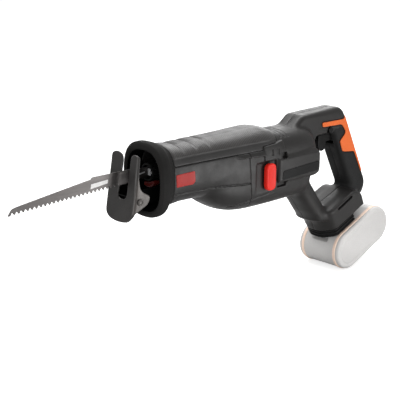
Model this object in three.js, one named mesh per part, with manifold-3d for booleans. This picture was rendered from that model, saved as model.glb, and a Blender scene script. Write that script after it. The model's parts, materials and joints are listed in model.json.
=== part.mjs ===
// A cordless reciprocating saw with its battery pack, blade, pivoting shoe and the drive inside.
// Millimetres, +Z up. The blade points along -X and the D handle is at +X. Everything is drawn
// about the plunger's axis (y = 0, z = 0); the finished group is then moved so that its origin
// is the middle of the flat working face of the shoe, below the blade slot.
import * as THREE from "three";
import { ParametricGeometry } from "three/addons/geometries/ParametricGeometry.js";
import { mergeVertices } from "three/addons/utils/BufferGeometryUtils.js";
import Module from "manifold-3d";

const wasm = await Module();
wasm.setup();

// ---- driving dimensions ---------------------------------------------------------------------
const GAP = 0.3; // between pieces that touch
const WALL = 3; // housing wall
const STROKE = 28.6; // full travel of the blade
const CRANK_X = 22; // vertical axis of the crank gear
const CRANK_RADIUS = STROKE / 2;
const MOTOR_Z = -25; // axis of the motor, below the plunger
const GEAR_TEETH = 40;
const PINION_TEETH = 8;
const GEAR_PITCH_RADIUS = 22.25;
const TOOTH_HEIGHT = 1.1; // addendum of the gear and of the pinion
const SEAM_X = 52; // where the front housing meets the motor housing
const COLLAR_FRONT = -92;
const COLLAR_REAR = -70.3;
const CAVITY_BACK = -50; // wall behind the blade clamp
const SHOE_PIN = { x: -117, z: -25.3 };
const SHOE_TILT = THREE.MathUtils.degToRad(9.84);
const SHOE_HALF_WIDTH = 26;
const SHOE_SHEET = 2.6;
const SHOE_FACE = -8.4; // working face, in front of the pivot pin
const BLADE_THICKNESS = 1.3;
const HANDLE_HALF_WIDTH = 17.5;
const PACK_ORIGIN = { x: 256.3, z: -165 }; // centre of the battery's front round end
const PACK_TILT = THREE.MathUtils.degToRad(22.84);
const PACK_LENGTH = 63; // between the centres of the two round ends
const PACK_RADIUS = 27.3;
const PACK_HALF_CASE = 27.9;
const FOOT_LOW = 41.4; // underside of the foot above the battery's axis
const PLUNGER_RADIUS = 6;
const YOKE_HALF_LENGTH = 10.8;
const YOKE_FRONT = CRANK_X - YOKE_HALF_LENGTH;
const GEAR_SHAFT_RADIUS = 5;
const GEAR_ROOT_Z = -19.1; // underside of the crank gear, between its teeth
const CLAMP_PIN_X = -82;
const LOCK_OFF = { x: 226, z: 9.3 };
const POD_HALF_WIDTH = 39.4;
const SHOE_ORIGIN_HEIGHT = -14; // of the origin, below the shoe's pivot pin
const FINE = 10; // curve segments of a half circle on large rounds
const PLAIN = 5;

// colour, roughness and metalness of each material
const FINISH = {
  shell: [0x3b3b3b, 0.55, 0],
  dark: [0x1c1d1d, 0.6, 0],
  rubber: [0x4c4a49, 0.8, 0],
  red: [0xe8382b, 0.4, 0],
  orange: [0xee7436, 0.5, 0],
  blade: [0x6f6a68, 0.45, 0.9],
  shoe: [0x454747, 0.5, 0.7],
  steel: [0x9b9b9d, 0.35, 1],
  castAluminium: [0xa8aaac, 0.5, 0.9],
  brass: [0xb58b45, 0.4, 1],
  copper: [0xb06a3c, 0.45, 0.9],
  board: [0x245a34, 0.6, 0],
  pack: [0xc3c5c7, 0.55, 0],
  packRing: [0xecd2c3, 0.5, 0],
  lens: [0xe8eef2, 0.1, 0],
};

// ---- solids ---------------------------------------------------------------------------------
// A closed three.js geometry as a manifold solid.
function solid(geometry, matrix) {
  const bare = geometry.clone();
  bare.deleteAttribute("normal");
  bare.deleteAttribute("uv");
  if (matrix) bare.applyMatrix4(matrix);
  const merged = mergeVertices(bare, 1e-4);
  const triangles = [];
  for (let i = 0; i < merged.index.count; i += 3) {
    const [a, b, c] = [0, 1, 2].map((k) => merged.index.getX(i + k));
    if (a !== b && b !== c && c !== a) triangles.push(a, b, c);
  }
  return new wasm.Manifold(
    new wasm.Mesh({
      numProp: 3,
      vertProperties: merged.attributes.position.array,
      triVerts: Uint32Array.from(triangles),
    }),
  );
}

const join = (...parts) => parts.reduce((sum, part) => sum.add(part));
const cut = (body, ...tools) => tools.reduce((rest, tool) => rest.subtract(tool), body);

// Directions in which an outline is extruded. The outline's two axes are Y,Z for "x"; X,Z for
// "y"; X,Y for "z".
const TURN = {
  x: new THREE.Matrix4().set(0, 0, 1, 0, 1, 0, 0, 0, 0, 1, 0, 0, 0, 0, 0, 1),
  y: new THREE.Matrix4().set(1, 0, 0, 0, 0, 0, -1, 0, 0, 1, 0, 0, 0, 0, 0, 1),
  z: new THREE.Matrix4(),
};

// An outline extruded from low to high along an axis, its rims rounded by `round`.
function slab(outline, axis, low, high, round = 0, segments = PLAIN) {
  const geometry = new THREE.ExtrudeGeometry(outline, {
    depth: high - low - 2 * round,
    bevelEnabled: round > 0,
    bevelThickness: round,
    bevelSize: round,
    bevelOffset: -round,
    bevelSegments: 2,
    curveSegments: segments,
  });
  const start = axis === "y" ? -high + round : low + round;
  return solid(geometry, TURN[axis].clone().multiply(new THREE.Matrix4().makeTranslation(0, 0, start)));
}

// A closed outline through corners [a, b, radius]; a corner's radius is optional.
function outline(corners, Type = THREE.Shape) {
  const path = new Type();
  const count = corners.length;
  for (let i = 0; i < count; i++) {
    const [corner, before, after] = [i, i + count - 1, i + 1].map(
      (k) => new THREE.Vector2(corners[k % count][0], corners[k % count][1]),
    );
    const radius = corners[i][2] ?? 0;
    const inward = before.sub(corner);
    const outward = after.sub(corner);
    const start = corner.clone().addScaledVector(inward.clone().normalize(), radius);
    const end = corner.clone().addScaledVector(outward.clone().normalize(), radius);
    if (i === 0) path.moveTo(start.x, start.y);
    else path.lineTo(start.x, start.y);
    if (radius > 0) path.quadraticCurveTo(corner.x, corner.y, end.x, end.y);
  }
  return path;
}

const withHoles = (shape, ...holes) => {
  shape.holes.push(...holes);
  return shape;
};

const rectangle = (a0, a1, b0, b1, radius = 0) =>
  outline([[a0, b0, radius], [a1, b0, radius], [a1, b1, radius], [a0, b1, radius]]);

function circle(radius, a = 0, b = 0, Type = THREE.Shape) {
  const path = new Type();
  path.absarc(a, b, radius, 0, 2 * Math.PI, false);
  return path;
}

const box = (x0, x1, y0, y1, z0, z1) => slab(rectangle(x0, x1, y0, y1), "z", z0, z1);

// A round bar or, with an inner radius, a ring; a and b place its axis.
function bar(axis, radius, low, high, a = 0, b = 0, inner = 0, segments = FINE) {
  const shape = circle(radius, a, b);
  if (inner > 0) shape.holes.push(circle(inner, a, b, THREE.Path));
  return slab(shape, axis, low, high, 0, segments);
}

// A closed skin through rounded sections. `section` gives a station's centre and its two half
// axes, as vectors; the first and the last section are closed flat.
function skin(stations, section, squareness, around) {
  const rows = [stations[0], ...stations, stations[stations.length - 1]];
  const geometry = new ParametricGeometry(
    (u, v, target) => {
      const row = Math.round(v * (rows.length - 1));
      const [centre, across, up] = section(rows[row]);
      const size = row === 0 || row === rows.length - 1 ? 0 : 1;
      const angle = 2 * Math.PI * (u % 1);
      const reach = (value) => size * Math.sign(value) * Math.abs(value) ** (2 / squareness);
      target.copy(centre).addScaledVector(across, reach(Math.cos(angle)));
      target.addScaledVector(up, reach(Math.sin(angle)));
    },
    around,
    rows.length - 1,
  );
  return solid(geometry);
}

const vector = (x, y, z) => new THREE.Vector3(x, y, z);
const around = (inset) => (inset > 0 ? 20 : 24); // sides of a lofted section

// A body lofted along X. A station is [x, half width, top, bottom]; inset moves the skin inward.
const loft = (stations, squareness, inset = 0) =>
  skin(stations, ([x, halfWidth, top, bottom]) => [
    vector(x, 0, (top + bottom) / 2), vector(0, halfWidth - inset, 0),
    vector(0, 0, (top - bottom) / 2 - inset),
  ], squareness, around(inset));

// A body lofted along Z. A station is [z, x, half length, half width].
const column = (stations, squareness, inset = 0) =>
  skin(stations, ([z, x, halfLength, halfWidth]) => [
    vector(x, 0, z), vector(0, inset - halfWidth, 0), vector(inset - halfLength, 0, 0),
  ], squareness, around(inset));

// ---- placed frames --------------------------------------------------------------------------
// The battery's own frame: X along its length, Z up through its top face.
const packFrame = new THREE.Matrix4()
  .makeTranslation(PACK_ORIGIN.x, 0, PACK_ORIGIN.z)
  .multiply(new THREE.Matrix4().makeRotationY(-PACK_TILT));
// The shoe's own frame: origin on its pivot pin, working face upright at x = SHOE_FACE.
const shoeFrame = new THREE.Matrix4()
  .makeTranslation(SHOE_PIN.x, 0, SHOE_PIN.z)
  .multiply(new THREE.Matrix4().makeRotationY(SHOE_TILT));
const placed = (body, frame) => body.transform(frame.elements);

// ---- outer forms of the housing -------------------------------------------------------------
const BARREL = [
  [-74, 30.2, 28.8, -40.6],
  [-70.1, 30.2, 28.8, -40.6],
  [-70, 32.6, 31.2, -43.0],
  [-64, 32.2, 30.2, -42.2],
  [-58, 32.0, 29.5, -41.6],
  [-50, 31.8, 28.9, -40.8],
  [-20, 32.4, 29.5, -41.6],
  [20, 34.2, 29.8, -45.0],
  [55, 36.0, 30.8, -50.0],
  [84, 36.8, 31.6, -50.0],
  [97, 37.0, 29.6, -50.0],
  [108, 37.0, 26.0, -50.0],
  [120, 37.0, 23.4, -50.0],
  [150, 36.6, 23.2, -50.0],
  [171, 35.0, 21.5, -50.0],
  [182, 30.0, 17.0, -48.0],
  [190, 21.5, 9.0, -43.0],
  [195, 12.0, 1.0, -36.0],
];
const BELLY = [
  [-24, 18.0, 0, -37.0],
  [-9, 26.0, 0, -48.0],
  [7, 30.0, 0, -57.5],
  [23, 32.4, 0, -64.8],
  [41, 34.0, 0, -69.4],
  [63, 35.0, 0, -71.5],
  [105, 35.2, 0, -72.0],
  [150, 34.0, 0, -71.4],
  [170, 30.0, 0, -67.0],
  [182, 22.0, -8, -60.0],
];
// The front strut of the handle, flowing out of the motor housing: [z, x, half length, half width].
const STRUT = [
  [-14, 151, 24, 36],
  [-34, 152, 25, 36.5],
  [-46, 156, 23.5, 33],
  [-54, 163, 21, 27],
  [-62, 171, 18, 22.5],
  [-74, 182, 16, 20.5],
  [-98, 203, 15.5, 20.5],
  [-116, 218, 16, 23],
];
const BARREL_SQUARENESS = 2.7;
const BELLY_SQUARENESS = 2.5;
const STRUT_SQUARENESS = 2.4;
const COVER_END = 100; // rear end of the soft cover on top
const COVER_THICKNESS = 3.2;

const handleOutline = () =>
  outline([
    [140, 0], [146, 19.5, 4], [169.5, 36.8, 9], [254.2, 38.9, 13], [312.8, -78, 9],
    [305.5, -95, 6], [262, -113], [213.2, -124, 10], [158, -53], [140, -40],
  ]);
const openingOutline = (Type) =>
  outline(
    [[199, 3, 5], [197, -39, 4], [189, -55.7, 4], [223, -99, 5], [278, -80.5, 7], [235.5, 3, 5]],
    Type,
  );
// The D handle: front strut, top arm and grip round one opening, all edges rounded.
function handleForm(inset) {
  const half = HANDLE_HALF_WIDTH - inset;
  const [roundY, roundXZ] = [9, 8];
  const geometry = new THREE.ExtrudeGeometry(withHoles(handleOutline(), openingOutline(THREE.Path)), {
    depth: 2 * (half - roundY),
    bevelThickness: roundY,
    bevelSize: roundXZ,
    bevelOffset: -roundXZ - inset,
    bevelSegments: inset > 0 ? 1 : 2,
    curveSegments: 3,
  });
  return solid(geometry, TURN.y.clone().multiply(new THREE.Matrix4().makeTranslation(0, 0, roundY - half)));
}

// The block over the battery, with a blunt, chamfered front end.
function footForm(inset) {
  const plan = [[-22, 12], [-10, 29.5], [59, 29.5]];
  const halfPlan = plan.map(([a, b], i) => [a + (i < 2 ? inset : -inset), b - inset, inset ? 0 : 4]);
  const otherHalf = halfPlan.map(([a, b, r]) => [a, -b, r]);
  const low = FOOT_LOW - (inset ? 1 : 0);
  const side = outline([
    [-34, low], [49, low], [58 - inset, 44.5, 2], [58 - inset, 60, 4], [45, 71.5 - inset, 6], [-34, 71.5 - inset],
  ]);
  const block = slab(outline([...otherHalf, ...halfPlan.reverse()]), "z", low, 76, 0, 4);
  return placed(block.intersect(slab(side, "y", -30, 30, 0, 4)), packFrame);
}

// The raised side panels that carry the name plate.
function podForm(inset) {
  const panel = outline([
    [100 + inset, -41 + inset, 9], [179 - inset, -41 + inset, 12],
    [179 - inset, -4 - inset, 12], [100 + inset, -4 - inset, 9],
  ]);
  return slab(panel, "y", -POD_HALF_WIDTH + inset, POD_HALF_WIDTH - inset, inset ? 0 : 3, 2);
}

const housingForm = (inset) =>
  join(
    loft(BARREL, BARREL_SQUARENESS, inset),
    loft(BELLY, BELLY_SQUARENESS, inset),
    column(STRUT, STRUT_SQUARENESS, inset),
    handleForm(inset),
    footForm(inset),
    podForm(inset),
  );

// Side view of the region under the soft cover, grown by `grow`.
const coverZone = (grow) =>
  slab(
    outline([
      [-69.4 - grow, 60], [-69.4 - grow, 8.4 - grow], [84, 7.8 - grow], [112 + grow, 14 - grow],
      [101 + grow, 26], [101 + grow, 60],
    ]),
    "y", -60, 60,
  );

// ---- pieces ---------------------------------------------------------------------------------
const pieces = [];
const add = (name, body, finish) => pieces.push({ name, body, finish });

// Screws that close the housing: [x, z, height of the head's seat above the middle plane].
const SHELL_SCREWS = [
  [-30, -30, 17], [45, -57, 17], [118, 11, 24], [156, -58, 20], [252, 25, 11], [291, -58, 11],
];
const SCREW_RADIUS = 1.9;
const HEAD_RADIUS = 3.4;
const BOSS_RADIUS = 4.6;

function makeHousing() {
  const bed = cut(coverZone(GAP), loft(BARREL, BARREL_SQUARENESS, COVER_THICKNESS + GAP));
  const underCover = loft(BARREL, BARREL_SQUARENESS, COVER_THICKNESS + GAP + 2.6);
  const cavity = join(cut(housingForm(WALL), coverZone(WALL)), underCover);
  const inside = housingForm(WALL - 0.2);
  const bulkhead = (low, high, radius) =>
    inside.intersect(cut(box(low, high, -40, 40, -75, 5), bar("x", radius, low - 1, high + 1, 0, MOTOR_Z)));
  const bosses = SHELL_SCREWS.map(([x, z]) =>
    inside.intersect(bar("y", BOSS_RADIUS, -40, 40, x, z, 0, PLAIN)));
  let body = join(cut(housingForm(0), bed, cavity), bulkhead(55.5, 60.5, 9.6), bulkhead(141, 146, 9.6), ...bosses);
  for (const [x, z, seat] of SHELL_SCREWS) {
    body = cut(
      body,
      bar("y", SCREW_RADIUS + GAP, -12, seat + 1, x, z, 0, PLAIN),
      bar("y", HEAD_RADIUS + GAP, seat, 45, x, z, 0, PLAIN),
    );
  }
  body = cut(
    body,
    box(205, 247, -8.7, 8.7, -24, 9.5), // the trigger's well
    bar("y", 4.8, -25, 25, LOCK_OFF.x, LOCK_OFF.z), // the lock-off button's bore
    box(63, 98.5, -60, -33.6, -48.5, -8), // the slider's window on the left
    bar("x", 26, 62, 90, 0, MOTOR_Z), // room for the fan
  );
  const sides = { left: box(-90, 330, -45, -GAP / 2, -160, 60), right: box(-90, 330, GAP / 2, 45, -160, 60) };
  const front = box(-90, SEAM_X - GAP / 2, -60, 60, -160, 60);
  const rear = box(SEAM_X + GAP / 2, 330, -60, 60, -160, 60);
  for (const [side, half] of Object.entries(sides)) {
    add(`front_shell_${side}`, body.intersect(half).intersect(front), "shell");
    add(`rear_shell_${side}`, body.intersect(half).intersect(rear), "shell");
  }
  SHELL_SCREWS.forEach(([x, z, seat], i) => {
    const head = cut(
      bar("y", HEAD_RADIUS, seat + GAP, seat + 2.7, x, z, 0, PLAIN),
      bar("y", 1.6, seat + 1.2, seat + 3, x, z, 0, 3),
    );
    add(`shell_screw_${i + 1}`, join(head, bar("y", SCREW_RADIUS, -11, seat + 0.5, x, z, 0, PLAIN)), "steel");
  });
  const cover = cut(
    loft(BARREL, BARREL_SQUARENESS).intersect(coverZone(0)),
    loft(BARREL, BARREL_SQUARENESS, COVER_THICKNESS),
  );
  const grooves = [0, 1, 2, 3].map((i) => {
    const x = -46 + 17 * i;
    return slab(outline([[x, 60], [x + 2.2, 60], [x + 14.2, -10], [x + 12, -10]]), "y", -50, 50);
  });
  const grooved = cut(join(...grooves).intersect(box(-60, 30, -60, 60, 16, 60)),
    loft(BARREL, BARREL_SQUARENESS, 1.2));
  add("grip_cover", cut(cover, grooved), "rubber");
}

// The flared ring round the blade clamp and the wall at the bottom of its cavity.
function makeNose() {
  const outside = [
    [COLLAR_FRONT, 35.2, 34.9, -51.5], [COLLAR_FRONT + 2, 36.7, 36.4, -53.0],
    [COLLAR_FRONT + 9, 36.9, 36.7, -53.2], [COLLAR_FRONT + 13, 36.0, 35.8, -52.0],
    [COLLAR_FRONT + 17, 33.8, 32.8, -45.8], [COLLAR_REAR, 32.7, 31.4, -43.2],
  ];
  const inside = [
    [COLLAR_FRONT - 1, 30.5, 27.8, -46.3], [COLLAR_FRONT + 2, 29.6, 26.9, -45.4], [-77, 27.6, 25.4, -38.4],
    [COLLAR_REAR + 1, 27.6, 25.4, -38.4],
  ];
  const socket = [[-74.3, 30.5, 29.1, -40.9], [COLLAR_REAR + 1, 30.5, 29.1, -40.9]];
  add("nose_collar", cut(loft(outside, BARREL_SQUARENESS), loft(inside, BARREL_SQUARENESS),
    loft(socket, BARREL_SQUARENESS)), "shell");
  const plate = [[CAVITY_BACK - 1.8, 25.0, 21.8, -36.6], [CAVITY_BACK, 25.0, 21.8, -36.6]];
  add("cavity_plate", cut(loft(plate, BARREL_SQUARENESS),
    bar("x", 7.4, CAVITY_BACK - 3, CAVITY_BACK + 1), bar("x", 3.3, CAVITY_BACK - 3, CAVITY_BACK + 1, 12, 16)), "dark");
  add("led_lens", join(
    bar("x", 3, CAVITY_BACK - 3, CAVITY_BACK, 12, 16, 0, PLAIN),
    bar("x", 4.2, CAVITY_BACK - 3.6, CAVITY_BACK - 2.2, 12, 16, 0, PLAIN),
  ), "lens");
}

// The pivoting shoe, drawn upright in its own frame and then leaned back.
function makeShoe() {
  const [top, bottom, half] = [52.6, -26.4, SHOE_HALF_WIDTH];
  const plate = slab(
    outline([
      [-half, bottom, 19], [half, bottom, 19], [half, top, 9.8], [6.2, top, 9.8], [6.2, -0.4, 6.1],
      [-6.2, -0.4, 6.1], [-6.2, top, 9.8], [-half, top, 9.8],
    ]),
    "x", SHOE_FACE, SHOE_FACE + SHOE_SHEET, 0, 5,
  );
  const flange = outline([
    [SHOE_FACE + 0.6, -15], [-4, -13.6, 2], [13, -2.5, 3], [15, 7.6, 4], [1.5, 11.5, 5], [-4.2, 22, 6],
    [-5.2, 42, 1], [SHOE_FACE + 0.6, 44],
  ]);
  const ears = [-1, 1].map((side) =>
    slab(flange, "y", side > 0 ? half - SHOE_SHEET : -half, side > 0 ? half : -half + SHOE_SHEET, 0, 5));
  const hole = bar("y", 2.8, -30, 30, 0, 0, 0, PLAIN);
  add("shoe_plate", placed(cut(join(plate, ...ears), hole), shoeFrame), "shoe");
  const pin = join(
    ...[-1, 1].map((side) => bar("y", 4.2, Math.min(side * 20.3, side * (half - SHOE_SHEET - GAP)),
      Math.max(side * 20.3, side * (half - SHOE_SHEET - GAP)), SHOE_PIN.x, SHOE_PIN.z, 0, PLAIN)),
    bar("y", 2.5, -half - 0.5, half + 0.5, SHOE_PIN.x, SHOE_PIN.z, 0, PLAIN),
    bar("y", 4.2, -half - 1.9, -half - GAP, SHOE_PIN.x, SHOE_PIN.z, 0, PLAIN),
    bar("y", 4.2, half + GAP, half + 1.9, SHOE_PIN.x, SHOE_PIN.z, 0, PLAIN),
  );
  add("shoe_pin", pin, "steel");
  const arm = outline([
    [SHOE_PIN.x - 3.6, SHOE_PIN.z + 6.6, 4], [SHOE_PIN.x + 3, -14.6, 3], [-96, -13.4, 4], [-52.4, -13.4],
    [-52.4, -30.6, 2], [-96, -31, 4], [SHOE_PIN.x - 4.6, SHOE_PIN.z - 4.6, 4],
  ]);
  const arms = [-1, 1].map((side) => slab(arm, "y", side > 0 ? 17.4 : -20, side > 0 ? 20 : -17.4, 0, 5));
  const foot = box(-55, -52.2, -20, 20, -30.6, -16);
  add("shoe_bracket", cut(join(...arms, foot), bar("y", 2.8, -30, 30, SHOE_PIN.x, SHOE_PIN.z, 0, PLAIN)), "shoe");
}

// The blade: tapered body, straight tooth line that drops towards the tip, narrow shank.
function makeBlade() {
  const [tip, heel, pitch, depth] = [-272.5, -126, 5.6, 2.6];
  const toothLine = (x) => THREE.MathUtils.mapLinear(x, tip, heel, -15.6, -8.4);
  const corners = [[-76.3, 6], [-103, 6], [-109, 7.6], [-163.5, 7.4], [-166, 5.4], [-222, -1.9], [-269, -8.2], [-275.2, -15.9]];
  const count = Math.floor((heel - tip) / pitch);
  for (let i = 0; i < count; i++) {
    const x = tip + i * pitch;
    corners.push([x, toothLine(x) - 0.4], [x + pitch * 0.45, toothLine(x) + depth], [x + pitch * 0.8, toothLine(x) + depth * 0.5]);
  }
  corners.push([heel, toothLine(heel)], [-109, -8], [-103, -6.2], [-76.3, -6.2]);
  const body = slab(outline(corners), "y", -BLADE_THICKNESS / 2, BLADE_THICKNESS / 2);
  add("blade", cut(body, bar("y", 2.6, -2, 2, CLAMP_PIN_X, 0, 0, PLAIN)), "blade");
}

// The quick-release clamp on the plunger's front end.
function makeClamp() {
  const slot = box(-91, -76, -BLADE_THICKNESS / 2 - GAP, BLADE_THICKNESS / 2 + GAP, -6.6, 6.4);
  const socket = bar("x", PLUNGER_RADIUS + GAP, -73.5, -60);
  const pinBore = bar("y", 2.1, -9, 9, CLAMP_PIN_X, 0, 0, PLAIN);
  const core = join(bar("x", 8.4, -90, -68), bar("x", 9.8, -70.5, -68));
  add("clamp_body", cut(core, slot, socket, pinBore), "steel");
  add("clamp_pin", bar("y", 1.8, -7.9, 7.9, CLAMP_PIN_X, 0, 0, PLAIN), "steel");
  const ribs = [0, 1, 2, 3, 4, 5].map((i) =>
    bar("x", 1.6, -86, -72, 10.2 * Math.cos(i * Math.PI / 3 + 0.3), 10.2 * Math.sin(i * Math.PI / 3 + 0.3), 0, 4));
  const sleeve = bar("x", 10.6, -88.6, -71, 0, 0, 0);
  add("clamp_collar", cut(join(sleeve, ...ribs), bar("x", 8.8, -89, -70.6)), "dark");
  const lug = slab(outline([[-12.5, -10, 1.5], [-6.5, -13.5, 1.5], [-9, -17, 1.5], [-15.5, -13, 1.5]]), "x", -85, -74);
  add("clamp_lever", cut(lug, bar("x", 12.2, -90, -70)), "red");
}

// Plunger, its guides, and the crosshead whose slot the crank pin drives.
function makePlunger() {
  add("plunger", join(
    bar("x", PLUNGER_RADIUS, -73.2, YOKE_FRONT + 3),
    bar("x", 4, YOKE_FRONT + 2, YOKE_FRONT + 4.2),
  ), "steel");
  const frame = box(YOKE_FRONT, CRANK_X + YOKE_HALF_LENGTH, -22.4, 22.4, -5.2, 5.2);
  const slot = slab(rectangle(CRANK_X - 5.8, CRANK_X + 5.8, -20.1, 20.1, 5), "z", -6, 6, 0, 4);
  const seat = join(bar("x", PLUNGER_RADIUS + GAP, YOKE_FRONT - 1, YOKE_FRONT + 3.3));
  add("yoke", cut(frame, slot, seat, bar("x", 4.3, YOKE_FRONT - 1, YOKE_FRONT + 6)), "steel");
  const guide = (low, high) => bar("x", 9, low, high, 0, 0, PLUNGER_RADIUS + 0.06);
  add("front_bush", guide(-44, -32), "brass");
  add("rear_bush", guide(-25, -13), "brass");
  add("plunger_seal", bar("x", 9, -47.3, -44.4, 0, 0, PLUNGER_RADIUS + 0.1), "dark");
}

// The crank gear under the crosshead, its counterweight, pin and shaft.
function makeCrank() {
  const disc = bar("z", 25.5, GEAR_ROOT_Z, -13.4, CRANK_X, 0);
  const tooth = (i) => {
    const geometry = new THREE.BoxGeometry(5.6, 1.2, TOOTH_HEIGHT * 2);
    const turn = new THREE.Matrix4().makeRotationZ(((i + 0.5) * 2 * Math.PI) / GEAR_TEETH);
    const place = new THREE.Matrix4().makeTranslation(CRANK_X, 0, GEAR_ROOT_Z - TOOTH_HEIGHT + 0.2);
    return solid(geometry, place.multiply(turn).multiply(new THREE.Matrix4().makeTranslation(22.3, 0, 0)));
  };
  const teeth = Array.from({ length: GEAR_TEETH }, (_, i) => tooth(i));
  const weight = new THREE.Shape();
  weight.absarc(CRANK_X, 0, 24.8, (-160 * Math.PI) / 180, (-20 * Math.PI) / 180, false);
  weight.absarc(CRANK_X, 0, 13, (-20 * Math.PI) / 180, (-160 * Math.PI) / 180, true);
  weight.closePath();
  add("crank_gear", cut(
    join(disc, slab(weight, "z", -14, -6.8, 0, 6), ...teeth),
    bar("z", GEAR_SHAFT_RADIUS + GAP, -30, 0, CRANK_X, 0),
    bar("z", 4.3, -30, 0, CRANK_X, CRANK_RADIUS),
  ), "steel");
  add("crank_pin", bar("z", 4, GEAR_ROOT_Z + 0.2, -6.4, CRANK_X, CRANK_RADIUS), "steel");
  add("crank_roller", bar("z", 5.5, -13, -6.8, CRANK_X, CRANK_RADIUS, 4.3), "steel");
  add("gear_shaft", join(
    bar("z", GEAR_SHAFT_RADIUS, -49.1, -12, CRANK_X, 0),
    bar("z", 8, -13, -11.6, CRANK_X, 0),
  ), "steel");
  const bearing = (low, high) => bar("z", 10.7, low, high, CRANK_X, 0, GEAR_SHAFT_RADIUS + GAP);
  add("upper_gear_bearing", bearing(-32, -25.2), "steel");
  add("lower_gear_bearing", bearing(-49, -43), "steel");
}

// The cast gear case and its lid.
function makeGearCase() {
  const tub = join(
    bar("z", 28.9, -24.8, -5.2, CRANK_X, 0),
    box(-9.6, 50.9, -24.9, 24.9, -14, 8.4),
    bar("z", 13.4, -52, -24, CRANK_X, 0),
    bar("x", 9.6, 33, 54.5, 0, MOTOR_Z),
    box(-47.6, -9, -13, 13, -13, 8.4),
    bar("x", 13, -47.6, -9),
  );
  const gearRoom = bar("z", 26.5, -22.2, -6, CRANK_X, 0);
  const yokeRoom = box(-7, 48.6, -23, 23, -12, 12);
  add("gear_case", cut(
    tub,
    gearRoom,
    yokeRoom,
    box(-60, 60, -30, 30, 8.4, 20),
    bar("x", 9.3, -48, -11),
    bar("x", PLUNGER_RADIUS + 0.5, -12, -6),
    bar("z", 11, -49.4, -24.9, CRANK_X, 0),
    bar("z", GEAR_SHAFT_RADIUS + 0.6, -25, -21, CRANK_X, 0),
    bar("x", 7, 39, 56, 0, MOTOR_Z),
  ), "castAluminium");
  const lid = box(-9.6, 50.9, -23.8, 23.8, 8.4 + GAP, 10.9);
  add("gear_case_lid", cut(lid, box(-3, 45, -18, 18, 9.9, 12)), "castAluminium");
}

// The brushless motor in line behind the gear case.
function makeMotor() {
  add("motor_shaft", join(
    bar("x", 3, 41.2, 150, 0, MOTOR_Z),
    bar("x", 4.4, 130, 139.5, 0, MOTOR_Z),
  ), "steel");
  const pinionPitch = (GEAR_PITCH_RADIUS * PINION_TEETH) / GEAR_TEETH;
  const root = pinionPitch - TOOTH_HEIGHT - 0.1;
  const outer = pinionPitch + TOOTH_HEIGHT - 0.2;
  const corners = [];
  for (let i = 0; i < PINION_TEETH; i++) {
    const middle = Math.PI / 2 + (i * 2 * Math.PI) / PINION_TEETH;
    for (const [radius, offset] of [[root, -0.22], [outer, -0.09], [outer, 0.09], [root, 0.22]]) {
      corners.push([radius * Math.cos(middle + offset), MOTOR_Z + radius * Math.sin(middle + offset)]);
    }
  }
  const teeth = slab(outline(corners), "x", 41.4, 48);
  add("drive_pinion", cut(join(teeth, bar("x", 5, 47.5, 51, 0, MOTOR_Z)),
    bar("x", 3.12, 40, 52, 0, MOTOR_Z)), "steel");
  add("rotor", bar("x", 14.2, 88, 128, 0, MOTOR_Z, 3.3), "steel");
  const core = bar("x", 25, 86, 130, 0, MOTOR_Z, 15);
  const slots = Array.from({ length: 6 }, (_, i) => {
    const angle = (i * Math.PI) / 3;
    return bar("x", 3.4, 85, 131, 18.6 * Math.cos(angle), MOTOR_Z + 18.6 * Math.sin(angle), 0, 5);
  });
  add("stator", cut(core, ...slots), "copper");
  const blades = Array.from({ length: 9 }, (_, i) => {
    const geometry = new THREE.BoxGeometry(8, 15, 1.6);
    const turn = new THREE.Matrix4().makeRotationX((i * 2 * Math.PI) / 9);
    const lean = new THREE.Matrix4().makeTranslation(0, 15.5, 0).multiply(new THREE.Matrix4().makeRotationX(0.5));
    return solid(geometry, new THREE.Matrix4().makeTranslation(73.5, 0, MOTOR_Z).multiply(turn).multiply(lean));
  });
  add("fan", cut(join(bar("x", 24.4, 76.5, 78.5, 0, MOTOR_Z), bar("x", 9, 67, 78, 0, MOTOR_Z), ...blades),
    bar("x", 3.3, 60, 80, 0, MOTOR_Z)), "dark");
  add("front_motor_bearing", bar("x", 9.3, 55, 61, 0, MOTOR_Z, 3.3), "steel");
  add("rear_motor_bearing", bar("x", 9.3, 140.5, 146.5, 0, MOTOR_Z, 3.3), "steel");
}

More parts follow.
